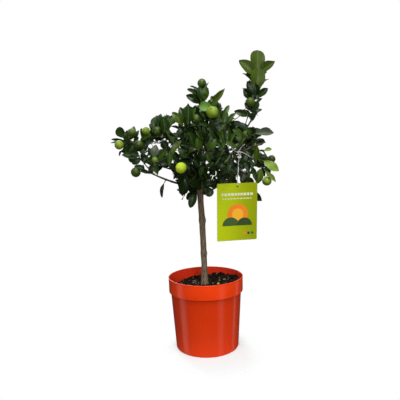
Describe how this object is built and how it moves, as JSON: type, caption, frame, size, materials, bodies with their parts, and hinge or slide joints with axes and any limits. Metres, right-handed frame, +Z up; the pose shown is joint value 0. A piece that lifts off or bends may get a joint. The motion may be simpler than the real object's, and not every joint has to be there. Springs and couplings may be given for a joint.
{
  "type": "potted kumquat tree",
  "caption": "Young kumquat tree on a bare stem with a loose rounded crown, one tall leading shoot and small green fruit, in a round plastic pot with a hanging card label.",
  "frame": {"origin": "centre of the pot's flat underside", "axes": "+Z up along the pot's axis, -Y towards the front, +X towards the side where the label hangs"},
  "size_m": [0.436, 0.3438, 0.781],
  "materials": {
    "pot_plastic": "glossy moulded plastic",
    "compost": "loose dark compost with bark bits",
    "bark": "grey-brown bark, finely ridged",
    "green_bark": "young green-brown bark",
    "foliage": "glossy dark green leaves with lighter undersides and round green fruit",
    "card": "printed plastic-coated card",
    "tie": "thin white plastic tie"
  },
  "bodies": {
    "root": {"pot": "pot_plastic", "compost": "compost", "trunk": "bark", "bough_centre": "green_bark", "bough_left": "green_bark", "bough_right": "green_bark", "bough_front": "green_bark", "bough_back": "green_bark", "bough_left_low": "green_bark", "bough_right_low": "green_bark", "bough_left_riser": "green_bark", "bough_left_spur": "green_bark", "bough_front_left": "green_bark", "bough_crown_left": "green_bark", "bough_crown_front": "green_bark", "bough_front_rise": "green_bark", "bough_crown_right": "green_bark", "bough_right_front": "green_bark", "bough_leader": "green_bark", "bough_leader_side": "green_bark", "bough_right_far": "green_bark", "bough_back_left": "green_bark", "bough_back_right": "green_bark", "bough_back_top": "green_bark", "bough_low_front": "green_bark", "bough_low_left": "green_bark", "bough_low_right": "green_bark", "bough_low_back": "green_bark", "label": "card", "label_tie": "tie", "mass_leader": "foliage", "mass_leader_side": "foliage", "mass_top": "foliage", "mass_crown_front": "foliage", "mass_crown_left": "foliage", "mass_crown_right": "foliage", "mass_left_tip": "foliage", "mass_left_low": "foliage", "mass_left_spur": "foliage", "mass_left_upper": "foliage", "mass_front_left": "foliage", "mass_front": "foliage", "mass_centre": "foliage", "mass_right": "foliage", "mass_right_front": "foliage", "mass_right_tip": "foliage", "mass_right_low": "foliage", "mass_back_left": "foliage", "mass_back": "foliage", "mass_back_right": "foliage", "mass_back_top": "foliage", "mass_low_front": "foliage", "mass_low_left": "foliage", "mass_low_right": "foliage", "mass_low_back": "foliage"}
  },
  "joints": []
}
